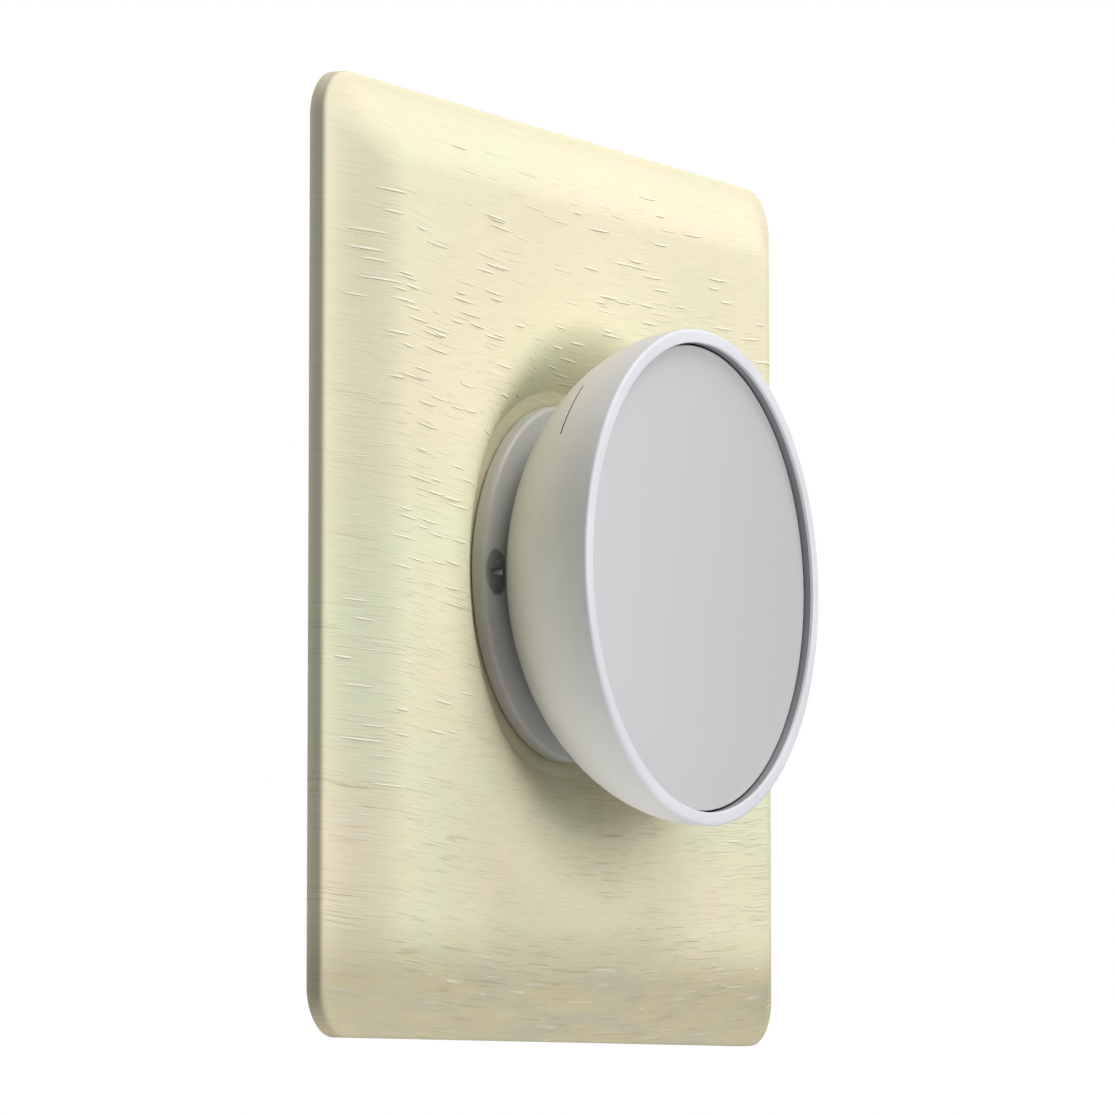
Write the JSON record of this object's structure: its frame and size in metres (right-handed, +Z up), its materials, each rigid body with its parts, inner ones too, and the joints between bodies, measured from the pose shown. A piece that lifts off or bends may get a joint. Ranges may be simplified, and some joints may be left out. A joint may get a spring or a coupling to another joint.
{
  "type": "smoke detector",
  "caption": "Wall or ceiling smoke detector: a deep rounded bowl with a flat press-to-test face, twist-locked to a base in the dish of a square mounting plate.",
  "frame": {"origin": "centre of the mounting plate on the wall plane, on the detector's axis", "axes": "+Y into the wall, the detector faces -Y; +Z up and +X to the right as seen from the room"},
  "size_m": [0.156, 0.031, 0.156],
  "materials": {
    "ivory_plastic": "moulded ivory plastic with a fine streaked surface",
    "natural_plastic": "moulded natural white",
    "white_plastic": "satin white",
    "white_matte_plastic": "matte white",
    "grey_face": "smooth neutral grey",
    "grey_plastic": "moulded grey",
    "black_plastic": "matte black",
    "steel": "zinc plated",
    "nickel": "nickel plated",
    "cell_sleeve": "printed-free shrink sleeve",
    "circuit_board": "green solder mask",
    "component_sleeve": "dark sleeve",
    "lamp_lens": "milky lens",
    "clear_plastic": "clear acrylic",
    "tinted_lens": "tinted epoxy",
    "brass": "rolled sheet",
    "ceramic": "fired, silvered",
    "tape": "black foam tape"
  },
  "bodies": {
    "plate": {"mounting_plate": "ivory_plastic"},
    "base": {"mounting_base": "natural_plastic", "wall_screw_left": "steel", "wall_screw_right": "steel"},
    "head": {"shell": "white_plastic", "rear_cover": "white_matte_plastic", "cover_screw_1": "steel", "cover_screw_2": "steel", "cover_screw_3": "steel", "chassis": "grey_plastic", "battery_cradle": "black_plastic", "battery_cell": "cell_sleeve", "battery_spring_contact": "nickel", "battery_leaf_contact": "nickel", "main_board": "circuit_board", "microcontroller": "black_plastic", "capacitor": "component_sleeve", "inductor": "component_sleeve", "status_led": "lamp_lens", "light_pipe": "clear_plastic", "chamber_base": "black_plastic", "labyrinth_cap": "black_plastic", "insect_screen": "steel", "ir_emitter": "tinted_lens", "photodiode": "tinted_lens", "sounder_housing": "black_plastic", "piezo_disc": "brass", "piezo_ceramic": "ceramic", "sounder_contact_1": "steel", "sounder_contact_2": "steel", "switch_body": "grey_plastic", "return_spring_1": "steel", "return_spring_2": "steel", "return_spring_3": "steel"},
    "face": {"face_disc": "grey_face", "face_adhesive": "tape", "face_carrier": "black_plastic"},
    "plunger": {"switch_plunger": "black_plastic"}
  },
  "joints": [
    {"name": "detector_lift", "type": "slide", "parent": "plate", "child": "base", "axis": [0, -1, 0], "range_m": [0, 0.08]},
    {"name": "head_twist", "type": "hinge", "parent": "base", "child": "head", "pos_m": [0, 0, 0], "axis": [0, -1, 0], "range_deg": [0, 18]},
    {"name": "face_press", "type": "slide", "parent": "head", "child": "face", "axis": [0, 1, 0], "range_m": [0, 0.0008], "stiffness_N_per_m": 2500, "springref_m": -0.0008, "deforming": ["return_spring_1", "return_spring_2", "return_spring_3"]},
    {"name": "switch_press", "type": "slide", "parent": "head", "child": "plunger", "axis": [0, 1, 0], "range_m": [0, 0.0008]}
  ],
  "couplings": [
    {"joint": "switch_press", "follows": "face_press", "ratio": 1}
  ]
}
